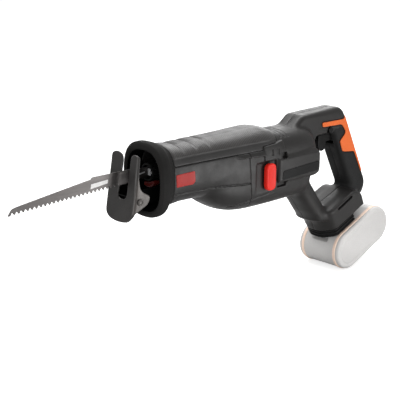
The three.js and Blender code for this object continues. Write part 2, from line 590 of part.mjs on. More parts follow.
// What the hand works: trigger, lock-off button and the sliding selector, with the electrics.
function makeControls() {
  const trigger = outline([
    [213, 3, 3], [211.8, -6, 4], [214, -19, 4], [224, -22, 3], [229.6, -17, 3], [229.6, -9], [238, -9],
    [238, 3],
  ]);
  add("trigger", slab(trigger, "y", -8, 8, 1.2, 3), "dark");
  add("switch_body", box(248.2, 262, -7, 7, -11, 9), "dark");
  add("lock_off_button", join(
    bar("y", 4.5, -19.6, 19.6, LOCK_OFF.x, LOCK_OFF.z),
  ), "dark");
  const knob = outline([[77, -45.6, 7], [96, -45.6, 7], [96, -10.6, 7], [77, -10.6, 7]]);
  add("mode_slider", slab(knob, "y", -41.4, -36, 2, 4), "red");
  const strut = new THREE.Matrix4().makeTranslation(189.5, 0, -75)
    .multiply(new THREE.Matrix4().makeRotationY(Math.atan2(63, 49)));
  add("controller", placed(box(-20, 20, -8, 8, -4.5, 4.5), strut), "board");
  add("terminal_block", placed(join(
    box(-14, 20, -10, 10, 31.4, 44),
    ...[-6, 0, 6].map((y) => box(-10, 12, y - 0.5, y + 0.5, 23, 32)),
  ), packFrame), "brass");
  const plan = outline([
    [-21, -11, 5], [-9, -27.5, 4], [34, -27.5, 3], [34, 27.5, 3], [-9, 27.5, 4], [-21, 11, 5],
  ]);
  const rail = join(
    slab(plan, "z", PACK_RADIUS + GAP, FOOT_LOW - GAP, 0, 4),
    box(-20, 30, -8, 8, 22.6, 28),
    box(-20, 30, -13, 13, 20.9, 23),
  );
  const well = box(-15, 21, -11, 11, 31, 45);
  const blades = [-6, 0, 6].map((y) => box(-11, 13, y - 0.9, y + 0.9, 20, 32));
  add("battery_rail", placed(cut(rail, well, ...blades), packFrame), "dark");
}

const stadium = (radius, Type = THREE.Shape) => {
  const path = new Type();
  path.absarc(0, 0, radius, Math.PI / 2, (3 * Math.PI) / 2, false);
  path.absarc(PACK_LENGTH, 0, radius, -Math.PI / 2, Math.PI / 2, false);
  path.closePath();
  return path;
};

// The battery pack: sleeve, two end caps with a ring behind each, cells and release button.
function makeBattery() {
  const bay = outline([
    [-20, -12, 8], [-8, -24.4, 8], [71, -24.4, 8], [83, -12, 8], [83, 14, 2], [74, 17.4], [-14, 17.4, 4], [-20, 10, 4],
  ]);
  const case_ = cut(
    slab(stadium(PACK_RADIUS), "y", -PACK_HALF_CASE, PACK_HALF_CASE, 0, 8),
    slab(bay, "y", -30, 30, 0, 4),
    box(-30, 34, -8.5, 8.5, 23.2, 30),
    box(-30, 34, -13.5, 13.5, 20.4, 23.5),
    ...[-6, 0, 6].map((y) => box(-8, 10, y - 0.8, y + 0.8, 16, 21)),
    box(80, 95, -13.3, 13.3, -0.3, 12.3),
  );
  add("battery_case", placed(case_, packFrame), "pack");
  for (const [name, side] of [["left", -1], ["right", 1]]) {
    const span = (near, far) => (side > 0 ? [near, far] : [-far, -near]);
    const ring = withHoles(stadium(PACK_RADIUS + 0.7), bay.clone());
    add(`battery_ring_${name}`, placed(slab(ring, "y", ...span(28.2, 29.6), 0, 8), packFrame), "packRing");
    const cap = slab(stadium(PACK_RADIUS - 0.1), "y", ...span(24, 36.2), 3, 8)
      .intersect(box(-40, 100, ...span(29.9, 40), -40, 40));
    const hollow = slab(bay, "y", ...span(25, 33.4), 0, 4);
    add(`battery_cap_${name}`, placed(cut(cap, hollow), packFrame), "pack");
  }
  const cells = [];
  for (let row = 0; row < 2; row++) {
    for (let i = 0; i < 5; i++) cells.push(bar("y", 8.9, -32.5, 32.5, -5.4 + 18.4 * i, -13.6 + 18.4 * row, 0, 4));
  }
  const holder = box(-10, 74, -8, 8, -20, 12);
  add("cell_pack", placed(join(...cells, holder), packFrame), "board");
  add("battery_button", placed(
    slab(rectangle(82.6, 90.4, 0, 12, 1.5), "y", -13, 13, 0, 3).intersect(
      slab(stadium(PACK_RADIUS + 1.6), "y", -20, 20, 0, 10)), packFrame), "packRing");
}

// Thin pieces that follow the surface: blank labels and the coloured grip inlays.
function makeTrim() {
  const film = (form) => cut(form(-GAP - 0.7), form(-GAP));
  const label = outline([[-68, -1], [-38, -0.7], [-37, -13.5], [-40.5, -16.9], [-67, -16.2]]);
  add("label_badge", film((inset) => loft(BARREL, BARREL_SQUARENESS, inset))
    .intersect(slab(label, "y", -40, -20)), "red");
  add("name_plate", slab(outline([[106, -36, 3], [176, -34, 3], [178, -21, 3], [108, -24, 3]]), "y",
    -POD_HALF_WIDTH - GAP - 0.7, -POD_HALF_WIDTH - GAP), "dark");
  const inlay = outline([
    [208.5, 21.7, 2], [209.5, 15.3, 2], [250, 14.2, 4], [260, 2, 5], [247.5, -9, 3], [254.5, -25.2, 3],
    [279, -28, 2], [297, -60], [330, -60], [272, 30], [252, 21, 3],
  ]);
  const skinOfHandle = film(handleForm);
  add("accent_left", skinOfHandle.intersect(slab(inlay, "y", -20, -3)), "orange");
  add("accent_right", skinOfHandle.intersect(slab(inlay, "y", 3, 20)), "orange");
}

makeHousing();
makeNose();
makeShoe();
makeBlade();
makeClamp();
makePlunger();
makeCrank();
makeGearCase();
makeMotor();
makeControls();
makeBattery();
makeTrim();

// ---- the assembly ---------------------------------------------------------------------------
function mesh({ name, body, finish }) {
  const { vertProperties, triVerts } = body.getMesh();
  const geometry = new THREE.BufferGeometry();
  geometry.setAttribute("position", new THREE.BufferAttribute(vertProperties, 3));
  geometry.setIndex(new THREE.BufferAttribute(triVerts, 1));
  geometry.computeVertexNormals();
  const [color, roughness, metalness] = FINISH[finish];
  const part = new THREE.Mesh(geometry, new THREE.MeshStandardMaterial({ color, roughness, metalness }));
  part.name = name;
  return part;
}

// A point in the middle of the shoe's face, below the slot, is the origin.
const faceCentre = new THREE.Vector3(SHOE_FACE, 0, SHOE_ORIGIN_HEIGHT).applyMatrix4(shoeFrame);
const saw = new THREE.Group();
saw.name = "reciprocating_saw";
saw.position.copy(faceCentre).negate();
saw.add(...pieces.map(mesh));
export default saw;
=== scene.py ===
"""Looks of a cordless reciprocating saw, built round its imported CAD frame.

Every fine piece is the zero surface of a distance field, drawn in millimetres about the plunger's
axis (the drawing frame), or a bevelled sheet, and is then moved into the row frame.
"""

import json
import math

import bmesh
import bpy
import numpy as np
from mathutils import Matrix, Vector

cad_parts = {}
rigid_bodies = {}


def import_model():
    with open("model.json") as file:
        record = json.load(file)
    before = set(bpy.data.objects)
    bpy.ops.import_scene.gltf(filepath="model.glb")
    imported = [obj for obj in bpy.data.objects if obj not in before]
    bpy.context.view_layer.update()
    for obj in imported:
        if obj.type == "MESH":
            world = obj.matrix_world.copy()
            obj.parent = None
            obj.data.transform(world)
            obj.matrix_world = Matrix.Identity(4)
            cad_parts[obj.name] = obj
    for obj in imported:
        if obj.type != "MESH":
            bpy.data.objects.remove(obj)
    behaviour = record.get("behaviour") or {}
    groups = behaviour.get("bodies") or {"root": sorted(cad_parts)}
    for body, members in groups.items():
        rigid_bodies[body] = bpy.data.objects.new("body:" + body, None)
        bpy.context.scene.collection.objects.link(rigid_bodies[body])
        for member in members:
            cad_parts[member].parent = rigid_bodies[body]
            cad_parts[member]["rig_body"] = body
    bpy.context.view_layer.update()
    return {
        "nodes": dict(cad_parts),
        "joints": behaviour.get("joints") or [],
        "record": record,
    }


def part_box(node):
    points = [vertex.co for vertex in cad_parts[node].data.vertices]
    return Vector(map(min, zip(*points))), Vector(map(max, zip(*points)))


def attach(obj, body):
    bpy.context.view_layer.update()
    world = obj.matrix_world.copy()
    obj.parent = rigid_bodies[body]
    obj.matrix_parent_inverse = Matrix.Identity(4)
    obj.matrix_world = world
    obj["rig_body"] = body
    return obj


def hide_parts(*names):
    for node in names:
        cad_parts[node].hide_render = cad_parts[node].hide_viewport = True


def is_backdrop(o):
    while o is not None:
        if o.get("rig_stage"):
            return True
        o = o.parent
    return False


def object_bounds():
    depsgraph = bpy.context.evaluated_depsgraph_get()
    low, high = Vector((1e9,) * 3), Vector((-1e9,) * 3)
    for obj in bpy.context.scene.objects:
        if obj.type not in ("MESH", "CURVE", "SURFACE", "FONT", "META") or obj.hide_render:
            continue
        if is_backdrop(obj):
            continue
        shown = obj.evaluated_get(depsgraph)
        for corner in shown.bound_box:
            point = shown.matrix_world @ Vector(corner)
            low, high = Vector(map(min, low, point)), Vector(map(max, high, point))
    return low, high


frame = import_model()
RECORD = frame["record"]
JOINTS = {j["name"]: j for j in frame["joints"]}
SLOTS = {s["node"]: s["material_slot"] for s in RECORD["subparts"]}

# ---- frames ---------------------------------------------------------------------------------
MM = 0.001
CRANK_X = 22.0  # the crank's axis in the drawing frame
PACK_X, PACK_Z = 256.3, -165  # the middle of the battery's front round
PIN_X, PIN_Z = -117, -25.3  # the shoe's pivot
LOCK_X, LOCK_Z = 226, 9.3  # the lock-off button
LENS_Y, LENS_Z = 12, 16
crank, clamp = Vector(JOINTS["crank_spin"]["pos_m"]), Vector(JOINTS["clamp_twist"]["pos_m"])
ORIGIN = Vector((crank.x - CRANK_X * MM, 0, clamp.z))
DRAWING = Matrix.Translation(ORIGIN) @ Matrix.Scale(MM, 4)
PACK_TILT = math.radians(22.84)
PACK = DRAWING @ Matrix.Translation((PACK_X, 0, PACK_Z)) @ Matrix.Rotation(-PACK_TILT, 4, "Y")
SHOE_TILT = math.radians(9.84)
SHOE = DRAWING @ Matrix.Translation((PIN_X, 0, PIN_Z)) @ Matrix.Rotation(SHOE_TILT, 4, "Y")


def drawn_box(*nodes, margin=3.0):
    """The box of some CAD nodes in the drawing frame, a little larger."""
    back = DRAWING.inverted()
    corners = [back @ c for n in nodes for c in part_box(n)]
    low = np.min([list(c) for c in corners], axis=0) - margin
    high = np.max([list(c) for c in corners], axis=0) + margin
    return low, high


# ---- distance fields ------------------------------------------------------------------------
def smin(a, b, k):
    """Union of two fields with a fillet of about k."""
    h = np.maximum(k - np.abs(a - b), 0) / k
    return np.minimum(a, b) - h * h * k * 0.25


def smax(a, b, k):
    """Common part of two fields with a round edge of about k."""
    return -smin(-a, -b, k)


def through(stations, at):
    """Monotone cubic curves through the columns of stations, read at `at`."""
    table = np.array(stations, float)
    xs, at = table[:, 0], np.asarray(at, float)
    step = np.diff(xs)
    i = np.clip(np.searchsorted(xs, at) - 1, 0, len(step) - 1)
    t = np.clip((at - xs[i]) / step[i], 0, 1)
    curves = []
    for ys in table[:, 1:].T:
        slope = np.diff(ys) / step
        m = np.zeros_like(ys)
        both = slope[:-1] * slope[1:]
        m[1:-1] = np.where(both > 0, 2 * both / np.where(both > 0, slope[:-1] + slope[1:], 1), 0)
        h00, h10 = (1 + 2 * t) * (1 - t) ** 2, t * (1 - t) ** 2
        h01, h11 = t * t * (3 - 2 * t), t * t * (t - 1)
        curves.append((h00 * ys[i] + h10 * step[i] * m[i] + h01 * ys[i + 1] + h11 * step[i] * m[i + 1])
                      .astype(np.float32))
    return curves


def oval(u, v, a, b, power):
    """Distance along the ray from the centre to a superellipse's edge."""
    r = np.sqrt(u * u + v * v) + 1e-4
    q = ((np.abs(u) / a) ** power + (np.abs(v) / b) ** power) ** (1 / power) + 1e-5
    return r - r / q


def barrel_like(stations, power):
    def field(X, Y, Z):
        half, top, bottom = through(stations, X)
        return oval(Y, Z - (top + bottom) / 2, half, (top - bottom) / 2, power)
    return field


def rounded(corners, steps=5):
    """A closed outline through corners [a, b, radius], as points."""
    points = []
    count = len(corners)
    for i, corner in enumerate(corners):
        c, before, after = (np.array(corners[k % count][:2], float) for k in (i, i - 1, i + 1))
        radius = corner[2] if len(corner) > 2 else 0
        if radius == 0:
            points.append(c)
            continue
        start = c + (before - c) / np.linalg.norm(before - c) * radius
        end = c + (after - c) / np.linalg.norm(after - c) * radius
        for t in np.linspace(0, 1, steps + 1):
            points.append((1 - t) ** 2 * start + 2 * t * (1 - t) * c + t * t * end)
    return np.array(points)


def region(points, U, V):
    """Signed distance to a closed outline in two coordinates, negative inside."""
    a, b = points, np.roll(points, -1, axis=0)
    best, sign = None, None
    for (ax, ay), (bx, by) in zip(a, b):
        ex, ey = bx - ax, by - ay
        wx, wy = U - ax, V - ay
        t = np.clip((wx * ex + wy * ey) / (ex * ex + ey * ey + 1e-12), 0, 1)
        d = (wx - t * ex) ** 2 + (wy - t * ey) ** 2
        c1, c2, c3 = V >= ay, V < by, ex * wy > ey * wx
        flip = (c1 & c2 & c3) | (~c1 & ~c2 & ~c3)
        best = d if best is None else np.minimum(best, d)
        sign = flip if sign is None else sign ^ flip
    return np.where(sign, -1, 1) * np.sqrt(best)


def plate(flat, across, half, edge):
    """A flat outline's field given a thickness and a round edge."""
    p, q = flat + edge, np.abs(across) - (half - edge)
    return np.minimum(np.maximum(p, q), 0) + np.hypot(np.maximum(p, 0), np.maximum(q, 0)) - edge


def block(X, Y, Z, x, y, z, edge=0.0):
    """A box between pairs of limits, with round edges."""
    p, q, r = (np.abs(w - (lo + hi) / 2) - (hi - lo) / 2 + edge for w, (lo, hi) in ((X, x), (Y, y), (Z, z)))
    outside = np.sqrt(np.maximum(p, 0) ** 2 + np.maximum(q, 0) ** 2 + np.maximum(r, 0) ** 2)
    return outside + np.minimum(np.maximum(np.maximum(p, q), r), 0) - edge


def rod(u, v, along, radius, low, high, edge=0.4):
    """A round bar; u and v are the distances from its axis."""
    d, cap = np.sqrt(u * u + v * v) - radius, np.abs(along - (low + high) / 2) - (high - low) / 2
    return smax(d, cap, edge)


def net(field, low, high, step):
    """Points and quads of the field's zero surface, by surface nets."""
    axes = [np.arange(a, b + step, step, dtype=np.float32) for a, b in zip(low, high)]
    X, Y, Z = axes[0][:, None, None], axes[1][None, :, None], axes[2][None, None, :]
    shape = tuple(len(a) for a in axes)
    F = np.ascontiguousarray(np.broadcast_to(field(X, Y, Z), shape), dtype=np.float32)
    cells = tuple(n - 1 for n in shape)
    total, count = np.zeros((3, np.prod(cells))), np.zeros(np.prod(cells))
    crossings = []
    for axis in range(3):
        a = F[tuple(slice(0, -1) if k == axis else slice(None) for k in range(3))]
        b = F[tuple(slice(1, None) if k == axis else slice(None) for k in range(3))]
        at = np.argwhere((a < 0) != (b < 0))
        fa, fb = a[tuple(at.T)], b[tuple(at.T)]
        point = at.astype(float)
        point[:, axis] += fa / (fa - fb)
        u, v = (axis + 1) % 3, (axis + 2) % 3
        around, fits = [], np.ones(len(at), bool)
        for du, dv in ((0, 0), (1, 0), (1, 1), (0, 1)):
            cell = at.copy()
            cell[:, u] -= du
            cell[:, v] -= dv
            ok = np.all((cell >= 0) & (cell < cells), axis=1)
            flat = np.ravel_multi_index(tuple(np.clip(cell, 0, np.array(cells) - 1).T), cells)
            for k in range(3):
                total[k] += np.bincount(flat[ok], point[ok, k], len(count))
            count += np.bincount(flat[ok], minlength=len(count))
            around.append(flat)
            fits &= ok
        crossings.append((np.array(around).T, fits, fa < 0))
    used = count > 0
    number = np.full(len(count), -1)
    number[used] = np.arange(used.sum())
    points = np.array(low) + (total[:, used] / count[used]).T * step
    quads = []
    for around, fits, outward in crossings:
        quad = number[around[fits]]
        flip = ~outward[fits]
        quad[flip] = quad[flip][:, ::-1]
        quads.append(quad)
    return points, np.concatenate(quads)


# ---- materials ------------------------------------------------------------------------------
def finish(name, colour, rough, metal=0.0, grain=1800.0, bump=0.12, mottle=0.12, worn=0.25,
           worn_colour=None, stretch=(1, 1, 1), ribs=0.0, shine=0.5, coat=0.0, clear=0.0, painted_shade=None):
    """A procedural material: mottled colour, fine grain, uneven gloss, worn edges and, if asked, painted shade
    along X.
    """
    material = bpy.data.materials.new(name)
    material.use_nodes = True
    tree = material.node_tree
    new, link = tree.nodes.new, tree.links.new
    shader = tree.nodes["Principled BSDF"]
    place, scaled = new("ShaderNodeTexCoord"), new("ShaderNodeMapping")
    scaled.inputs["Scale"].default_value = stretch
    link(place.outputs["Object"], scaled.inputs["Vector"])

    def noise(scale, detail, source=scaled):
        node = new("ShaderNodeTexNoise")
        node.inputs["Scale"].default_value = scale
        node.inputs["Detail"].default_value = detail
        link(source.outputs[0], node.inputs["Vector"])
        return node.outputs["Fac"]

    def ranged(value, low, high, to_low, to_high):
        node = new("ShaderNodeMapRange")
        for socket, number in zip(("From Min", "From Max", "To Min", "To Max"), (low, high, to_low, to_high)):
            node.inputs[socket].default_value = number
        link(value, node.inputs["Value"])
        return node.outputs["Result"]

    def mixed(share, a, b):
        node = new("ShaderNodeMix")
        node.data_type = "RGBA"
        link(share, node.inputs["Factor"])
        for socket, value in ((node.inputs[6], a), (node.inputs[7], b)):
            if isinstance(value, tuple):
                socket.default_value = (*value, 1)
            else:
                link(value, socket)
        return node.outputs[2]

    def times(a, b, operation="MULTIPLY"):
        node = new("ShaderNodeMath")
        node.operation = operation
        link(a, node.inputs[0])
        if isinstance(b, float):
            node.inputs[1].default_value = b
        else:
            link(b, node.inputs[1])
        return node.outputs[0]

    darker = tuple(c * (1 - mottle) for c in colour)
    lighter = tuple(min(1, c * (1 + mottle)) for c in colour)
    base = mixed(ranged(noise(28, 4), 0.35, 0.65, 0, 1), darker, lighter)
    base = mixed(ranged(noise(grain * 0.6, 2), 0.4, 0.7, 0, 0.35), base, tuple(c * 0.7 for c in colour))
    if painted_shade:  # painted shade: darker past a place along the saw, where the blade's tang lies in shade
        apart = new("ShaderNodeSeparateXYZ")
        link(place.outputs["Object"], apart.inputs[0])
        along = ranged(apart.outputs["X"], ORIGIN.x + painted_shade[0] * MM, ORIGIN.x + painted_shade[1] * MM, 0, 1)
        base = mixed(along, base, painted_shade[2])
    edge = new("ShaderNodeNewGeometry")
    corners = ranged(edge.outputs["Pointiness"], 0.52, 0.60, 0, 1)
    rubbed = times(corners, ranged(noise(140, 5), 0.42, 0.62, 0, worn))
    pale = worn_colour or tuple(min(1, c * 1.5 + 0.035) for c in colour)
    link(mixed(rubbed, base, pale), shader.inputs["Base Color"])
    gloss = times(ranged(noise(60, 5), 0.3, 0.7, -0.07, 0.07), float(rough), "ADD")
    link(times(gloss, times(rubbed, -0.12), "ADD"), shader.inputs["Roughness"])
    height = noise(grain, 3)
    if ribs > 0:
        wave = new("ShaderNodeTexWave")
        wave.bands_direction = "X"
        wave.inputs["Scale"].default_value = ribs
        link(place.outputs["Object"], wave.inputs["Vector"])
        height = times(height, times(wave.outputs["Fac"], 1.6), "ADD")
    relief = new("ShaderNodeBump")
    relief.inputs["Strength"].default_value = bump
    relief.inputs["Distance"].default_value = 0.0004
    link(height, relief.inputs["Height"])
    link(relief.outputs["Normal"], shader.inputs["Normal"])
    shader.inputs["Metallic"].default_value = metal
    shader.inputs["Specular IOR Level"].default_value = shine
    shader.inputs["Coat Weight"].default_value = coat
    shader.inputs["Transmission Weight"].default_value = clear
    return material


LOOKS = {
    "shell": finish("moulded_shell", (0.0175, 0.0165, 0.016), 0.44, grain=2200, bump=0.10, shine=0.24),
    "nose": finish("nose_plastic", (0.0200, 0.0195, 0.0190), 0.72, grain=2200, bump=0.10, shine=0.05,
                   worn=0.15),
    "dark": finish("black_plastic", (0.005, 0.005, 0.005), 0.42, grain=2200, bump=0.10, shine=0.12, worn=0.15),
    # painted shade: near black for the inside of the nose and the parts that sit in its shade
    "void": finish("nose_painted_shade", (0.0012, 0.0012, 0.0013), 0.6, grain=2200, bump=0.05, shine=0.03, worn=0.05),
    "grip": finish("grip_rubber", (0.013, 0.013, 0.013), 0.55, grain=3000, bump=0.25, shine=0.12, worn=0.12),
    "soft_cover": finish("soft_rubber", (0.030, 0.028, 0.027), 0.45, grain=2600, bump=0.30, ribs=116.0,
                         shine=0.42),
    "soft_edge": finish("soft_border", (0.024, 0.023, 0.0225), 0.47, grain=2600, bump=0.12, shine=0.28),
    "red_plastic": finish("red_plastic", (0.70, 0.021, 0.013), 0.36, grain=1500, bump=0.05, mottle=0.05,
                          shine=0.15),
    "red_label": finish("red_label", (0.37, 0.026, 0.022), 0.42, grain=1500, bump=0.06, mottle=0.10,
                        shine=0.12),
    "lever_red": finish("lever_red", (0.07, 0.005, 0.004), 0.4, grain=1500, bump=0.05, mottle=0.05, shine=0.2),
    "orange_inlay": finish("orange_rubber", (0.70, 0.140, 0.034), 0.5, grain=2400, bump=0.14, mottle=0.07,
                           shine=0.12),
    # painted shade: the blade's steel turns dark from x -142 to -122 and stays dark towards the clamp, where
    # its tang lies in shade
    "blade_steel": finish("saw_steel", (0.135, 0.126, 0.123), 0.45, 0.7, grain=900, bump=0.10, worn=0.5,
                          worn_colour=(0.4, 0.38, 0.37), stretch=(0.12, 1, 1),
                          painted_shade=(-142, -122, (0.03, 0.027, 0.026))),
    "print": finish("blade_print", (0.86, 0.85, 0.84), 0.5, grain=1500, bump=0.05, worn=0.0, mottle=0.05),
    "shoe_steel": finish("blackened_steel", (0.040, 0.038, 0.037), 0.40, 0.35, grain=1200, bump=0.10, worn=0.8,
                         worn_colour=(0.20, 0.185, 0.175), shine=0.35),
    # painted light: a lighter copy of the shoe's steel for its sides, which face the light; its edges are also
    # worn pale
    "ear_steel": finish("rubbed_steel_painted_light", (0.072, 0.065, 0.061), 0.42, 0.45, grain=1200, bump=0.12, worn=0.8,
                        worn_colour=(0.26, 0.24, 0.22)),
    "steel": finish("machined_steel", (0.46, 0.46, 0.47), 0.32, 1.0, grain=1500, bump=0.08, worn=0.5,
                    worn_colour=(0.7, 0.7, 0.7), stretch=(1, 1, 0.2)),
    "cast_aluminium": finish("cast_aluminium", (0.42, 0.43, 0.44), 0.5, 0.9, grain=700, bump=0.3),
    "brass": finish("brass", (0.55, 0.36, 0.13), 0.35, 1.0, grain=1500, bump=0.08),
    "motor_core": finish("motor_core", (0.42, 0.17, 0.07), 0.4, 0.8, grain=1600, bump=0.2, stretch=(6, 1, 1)),
    "circuit_board": finish("circuit_board", (0.02, 0.10, 0.045), 0.45, grain=900, bump=0.15, mottle=0.25),
    "cells": finish("cell_wrap", (0.03, 0.12, 0.06), 0.4, grain=900, bump=0.06),
    "pack_shell": finish("pack_shell", (0.54, 0.53, 0.52), 0.5, grain=2200, bump=0.08, mottle=0.04, worn=0.2),
    "pack_ring": finish("pack_ring", (0.86, 0.66, 0.54), 0.5, grain=2200, bump=0.06, mottle=0.04, worn=0.1),
    # painted highlight: a light, barely metallic grey in place of the steel's reflections, for the clamp's face
    # and the tang bead
    "clamp_face": finish("clamp_face", (0.42, 0.42, 0.43), 0.4, 0.2, grain=1500, bump=0.08),
    "lens": finish("lens", (0.85, 0.88, 0.9), 0.12, grain=900, bump=0.02, worn=0.0, coat=0.6, clear=0.4),
}


# ---- pieces ---------------------------------------------------------------------------------
def dress(piece, node, look=None):
    """Gives a fine piece its material and the body of the CAD node it stands for."""
    slot_name = SLOTS[node]
    piece.data.materials.append(LOOKS[look or slot_name])
    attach(piece, frame["nodes"][node]["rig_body"])
    return piece


def shown(name, points, faces, place=DRAWING):
    mesh = bpy.data.meshes.new(name)
    mesh.from_pydata(points.tolist(), [], faces.tolist())
    mesh.transform(place)
    mesh.polygons.foreach_set("use_smooth", np.ones(len(mesh.polygons), bool))
    mesh.update()
    piece = bpy.data.objects.new(name, mesh)
    bpy.context.scene.collection.objects.link(piece)
    return piece


def grown(node, field, low, high, step, place=DRAWING, look=None, keep=1.0):
    """A fine piece from a field, standing for a CAD node."""
    piece = shown(node + "_fine", *net(field, low, high, step), place)
    if keep < 1:
        lighter = piece.modifiers.new("lighter", "DECIMATE")
        lighter.ratio = keep
    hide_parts(node)
    return dress(piece, node, look)


def paint(piece, look, picks):
    """Gives the faces that `picks` finds, by their middles in the drawing frame, another material."""
    mesh = piece.data
    mesh.materials.append(LOOKS[look])
    middles = np.empty(len(mesh.polygons) * 3)
    mesh.polygons.foreach_get("center", middles)
    X, Y, Z = ((middles.reshape(-1, 3) - np.array(ORIGIN)) / MM).T
    slots = np.where(picks(X, Y, Z), len(mesh.materials) - 1, 0)
    mesh.polygons.foreach_set("material_index", slots.astype(np.int32))


# ---- the housing ----------------------------------------------------------------------------
BARREL = [  # x, half width, top, bottom
    (-70, 32.6, 31.2, -43.0), (-64, 32.2, 30.2, -42.2), (-58, 32.0, 29.5, -41.6),
    (-50, 31.8, 28.9, -40.8), (-20, 32.4, 29.5, -41.6), (20, 34.2, 29.8, -45.0), (55, 36.0, 30.8, -50.0),
    (84, 36.8, 31.6, -50.0), (97, 37.0, 29.6, -50.0), (108, 37.0, 26.0, -50.0), (120, 37.0, 23.4, -50.0),
    (150, 36.6, 23.2, -50.0), (171, 35.0, 21.5, -50.0), (182, 30.0, 17.0, -48.0), (190, 21.5, 9.0, -43.0),
    (195, 12.0, 1.0, -36.0),
]
BELLY = [
    (-22, 18.0, 0, -36.0), (-9, 26.0, 0, -46.8), (7, 30.0, 0, -57.2), (23, 32.4, 0, -64.8),
    (41, 34.0, 0, -69.4), (63, 35.0, 0, -71.5), (105, 35.2, 0, -72.0), (150, 34.0, 0, -71.4),
    (170, 30.0, 0, -67.0), (182, 22.0, -8, -60.0),
]
STRUT = [  # z, x, half length, half width
    (-116, 215, 18.5, 24), (-98, 201.5, 17, 21.5), (-74, 181.5, 16.5, 20.5), (-62, 171, 18, 22.5),
    (-54, 163, 21, 26), (-46, 156, 23.5, 30), (-34, 152, 25, 32.5), (-14, 151, 24, 31),
]
HANDLE = rounded([
    [140, 0], [150, 19.5, 3], [171.5, 35.5, 4], [254.2, 38.9, 13], [312.8, -78, 9],
    [305.5, -95, 6], [262, -113], [213.2, -124, 10], [158, -53], [140, -40],
])
OPENING = rounded([[199, 3, 5], [197, -39, 4], [189, -55.7, 4], [223, -99, 5], [278, -80.5, 7], [235.5, 3, 5]])
POD = rounded([[100.5, -41, 7], [180, -41, 12], [180, -3.4, 12], [100.5, -3.4, 7]])
COVER = rounded([
    [-69.4, 60], [-69.4, 8.4, 3], [74.5, 7.2, 1], [75.5, 11.6, 1], [98, 13.0], [102.5, 13.6, 2], [103.5, 26],
    [103.5, 60],
])
LIP = rounded([[26, 8.4], [30, 2.2, 2], [77, 0.2, 1], [77, 6.8, 1]])
SHOULDER = rounded([
    [75.6, -7.2, 1], [75.6, 11.4, 0.6], [98, 12.9], [113.5, 14.6, 1.5], [113.5, 1, 2], [106, -1.5, 2],
    [106, -7.2, 1],
])
FOOT_SLOT = rounded([[4.5, 64.0, 1], [37.8, 64.6, 1], [37.8, 68.0, 1], [4.5, 67.4, 1]])
SLOTS_CUT = [  # openings in the rear shell's sides: x, z, half length, half height
    (90.0, 2.6, 0.8, 3.6), (101.5, 2.6, 0.8, 3.6), (113.6, -5.0, 4.8, 3.9), (111.5, -42.4, 8.4, 3.6),
]
GRIP = rounded([[236, 9], [264, 9, 6], [335, -60], [322, -86], [276, -84], [232, -2]])
INLAY = rounded([
    [208.5, 21.7, 2], [209.5, 15.3, 2], [250, 14.2, 4], [260, 2, 5], [247.5, -9, 3], [254.5, -25.2, 3],
    [279, -28, 2], [297, -60], [330, -60], [272, 30], [252, 21, 3],
])
SCREWS = [(-30, -30, 17), (45, -57, 17), (118, 11, 24), (156, -58, 20), (252, 25, 11), (291, -58, 11)]
WALL = 2.6
barrel = barrel_like(BARREL, 2.7)
belly_section = barrel_like(BELLY, 2.5)


def belly(X, Y, Z):
    ends = np.maximum(BELLY[0][0] - X, X - BELLY[-1][0])
    return smax(belly_section(X, Y, Z), ends, 6)


def pack_axes(X, Z):
    """Coordinates along the battery and up through its top."""
    c, s = math.cos(PACK_TILT), math.sin(PACK_TILT)
    x, z = X - PACK_X, Z - PACK_Z
    return c * x + s * z, -s * x + c * z


def foot(X, Y, Z):
    U, W = pack_axes(X, Z)
    y = np.abs(Y)
    corner = -0.825 * (U + 22) + 0.566 * (y - 12)
    sides = smax(smax(smax(corner, -22.5 - U, 5), y - 29.5, 5), U - 58, 4)
    slope = 0.66 * (U - 45) + 0.75 * (W - 71.5)
    return smax(smax(sides, smax(W - 71.5, slope, 5), 5), 41.4 - W, 1.2)


def handle(X, Y, Z):
    flat = smax(region(HANDLE, X, Z), -region(OPENING, X, Z), 2)
    return plate(flat, Y, 17.5, np.clip(6.5 + (X - 190) / 16, 6.5, 9))


def pod(X, Y, Z):
    y = np.abs(Y)
    upper = 0.81 * (y - 40.2) + 0.59 * (Z + 9.6)
    lower = 0.81 * (y - 40.2) - 0.59 * (Z + 36.5)
    front = 0.81 * (y - 40.2) + 0.59 * (103.5 - X)
    return smax(plate(region(POD, X, Z), y, 40.2, 1.5), np.maximum(np.maximum(upper, lower), front), 0.6)


def strut(X, Y, Z):
    x, long, wide = through(STRUT, Z)
    return smax(oval(X - x, Y, long, wide, 2.4), np.maximum(STRUT[0][0] - Z, Z - STRUT[-1][0]), 4)


def line_cut(d, gap, depth):
    """Cuts a shallow channel into a field where `gap` is negative."""
    return smax(d, -np.maximum(gap, -(d + depth)), 0.6)


def outside(X, Y, Z, rear):
    """The housing's outer form, without its front end wall."""
    tube = smax(barrel(X, Y, Z), X - BARREL[-1][0], 4)
    d = smin(tube, belly(X, Y, Z), 3)
    if rear:
        d = smin(smin(d, strut(X, Y, Z), 10), pod(X, Y, Z), 1.0)
        d = smin(d, handle(X, Y, Z), 4)
        d = smin(d, foot(X, Y, Z), 5)
        d = smax(d, -region(OPENING, X, Z) - 1.5, 3)
        d = smin(d, smax(barrel(X, Y, Z) - 1.9, region(SHOULDER, X, Z), 0.9), 0.6)
    proud = 2.8 * np.clip((8.4 - Z) / 6.5, 0, 1) * np.clip((X - 26) / 16, 0, 1)
    return smin(d, smax(barrel(X, Y, Z) - proud, region(LIP, X, Z), 0.7), 0.6)


